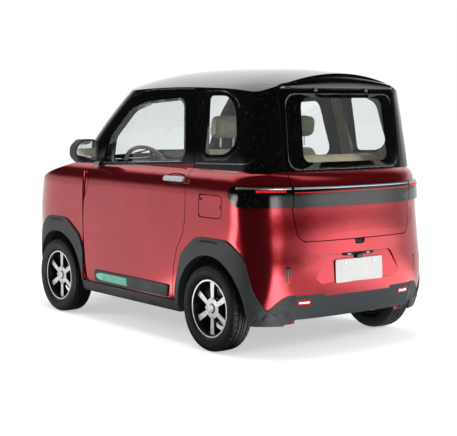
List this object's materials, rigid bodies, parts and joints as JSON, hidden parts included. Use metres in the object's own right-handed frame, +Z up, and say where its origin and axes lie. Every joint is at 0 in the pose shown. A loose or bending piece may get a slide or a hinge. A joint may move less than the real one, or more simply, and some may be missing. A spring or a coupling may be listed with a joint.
{
  "type": "electric microcar",
  "caption": "Small two-box electric city car with side doors, tailgate, bonnet, steered front wheels, a see-through cabin and plastic arch mouldings",
  "frame": {"origin": "on the ground, under the middle of the car's length and width", "axes": "X forward, Y to the car's left, Z up"},
  "size_m": [2.8608, 1.6936, 1.666],
  "materials": {
    "paint_red": "metallic red lacquer",
    "gloss_black": "gloss black",
    "dark_plastic": "grained dark grey",
    "steel_frame": "black chassis coating",
    "cast_knuckle": "as cast",
    "alloy": "machined and black lacquer",
    "tyre": "rubber",
    "glass": "clear",
    "lamp_clear": "clear lens",
    "lamp_dark": "smoked lens",
    "bright_trim": "bright",
    "beige_trim": "soft beige",
    "battery_case": "dark grey",
    "motor_case": "as cast"
  },
  "bodies": {
    "root": {"battery_pack": "battery_case", "corner_lamps": "lamp_dark", "cowl_panel": "dark_plastic", "dashboard": "dark_plastic", "drive_motor": "motor_case", "floor_platform": "steel_frame", "front_bumper": "paint_red", "front_fenders": "paint_red", "front_grille": "dark_plastic", "front_seats": "beige_trim", "front_suspension": "steel_frame", "headlamps": "lamp_clear", "pillar_frame": "gloss_black", "quarter_panels": "paint_red", "quarter_windows": "glass", "rear_axle": "steel_frame", "rear_bench": "beige_trim", "rear_bumper": "paint_red", "rear_valance": "dark_plastic", "roof_panel": "gloss_black", "side_mouldings": "dark_plastic", "steering_wheel": "beige_trim", "windscreen": "glass", "wiper": "dark_plastic"},
    "left_door": {"door_left": "paint_red", "door_glass_left": "glass", "door_mirror_left": "gloss_black", "door_handle_left": "bright_trim", "door_moulding_left": "dark_plastic"},
    "left_knuckle": {"knuckle_left": "cast_knuckle"},
    "front_left_wheel": {"rim_front_left": "alloy", "tyre_front_left": "tyre"},
    "rear_left_wheel": {"rim_rear_left": "alloy", "tyre_rear_left": "tyre"},
    "right_door": {"door_right": "paint_red", "door_glass_right": "glass", "door_mirror_right": "gloss_black", "door_handle_right": "bright_trim", "door_moulding_right": "dark_plastic"},
    "right_knuckle": {"knuckle_right": "cast_knuckle"},
    "front_right_wheel": {"rim_front_right": "alloy", "tyre_front_right": "tyre"},
    "rear_right_wheel": {"rim_rear_right": "alloy", "tyre_rear_right": "tyre"},
    "gate": {"tailgate": "paint_red", "rear_glass": "glass", "lamp_bar": "lamp_dark"},
    "hood": {"bonnet": "paint_red"},
    "flap": {"charge_flap": "paint_red"}
  },
  "joints": [
    {"name": "left_steer", "type": "hinge", "parent": "root", "child": "left_knuckle", "pos_m": [0.858, 0.59, 0.254], "axis": [0, 0, 1], "range_deg": [-28, 28]},
    {"name": "right_steer", "type": "hinge", "parent": "root", "child": "right_knuckle", "pos_m": [0.858, -0.59, 0.254], "axis": [0, 0, 1], "range_deg": [-28, 28]},
    {"name": "front_left_spin", "type": "hinge", "parent": "left_knuckle", "child": "front_left_wheel", "pos_m": [0.858, 0.646, 0.254], "axis": [0, 1, 0], "continuous": true},
    {"name": "front_right_spin", "type": "hinge", "parent": "right_knuckle", "child": "front_right_wheel", "pos_m": [0.858, -0.646, 0.254], "axis": [0, 1, 0], "continuous": true},
    {"name": "rear_left_spin", "type": "hinge", "parent": "root", "child": "rear_left_wheel", "pos_m": [-0.904, 0.646, 0.254], "axis": [0, 1, 0], "continuous": true},
    {"name": "rear_right_spin", "type": "hinge", "parent": "root", "child": "rear_right_wheel", "pos_m": [-0.904, -0.646, 0.254], "axis": [0, 1, 0], "continuous": true},
    {"name": "left_door_hinge", "type": "hinge", "parent": "root", "child": "left_door", "pos_m": [0.508, 0.695, 0.56], "axis": [0, 0, -1], "range_deg": [0, 64]},
    {"name": "right_door_hinge", "type": "hinge", "parent": "root", "child": "right_door", "pos_m": [0.508, -0.695, 0.56], "axis": [0, 0, 1], "range_deg": [0, 64]},
    {"name": "tailgate_hinge", "type": "hinge", "parent": "root", "child": "gate", "pos_m": [-1.254, 0, 1.521], "axis": [0, 1, 0], "range_deg": [0, 80]},
    {"name": "bonnet_hinge", "type": "hinge", "parent": "root", "child": "hood", "pos_m": [0.904, 0, 1.024], "axis": [0, -1, 0], "range_deg": [0, 50]},
    {"name": "flap_hinge", "type": "hinge", "parent": "root", "child": "flap", "pos_m": [-0.812, 0.701, 0.854], "axis": [0, 0, -1], "range_deg": [0, 100]}
  ],
  "couplings": [
    {"joint": "right_steer", "follows": "left_steer", "ratio": 1}
  ]
}
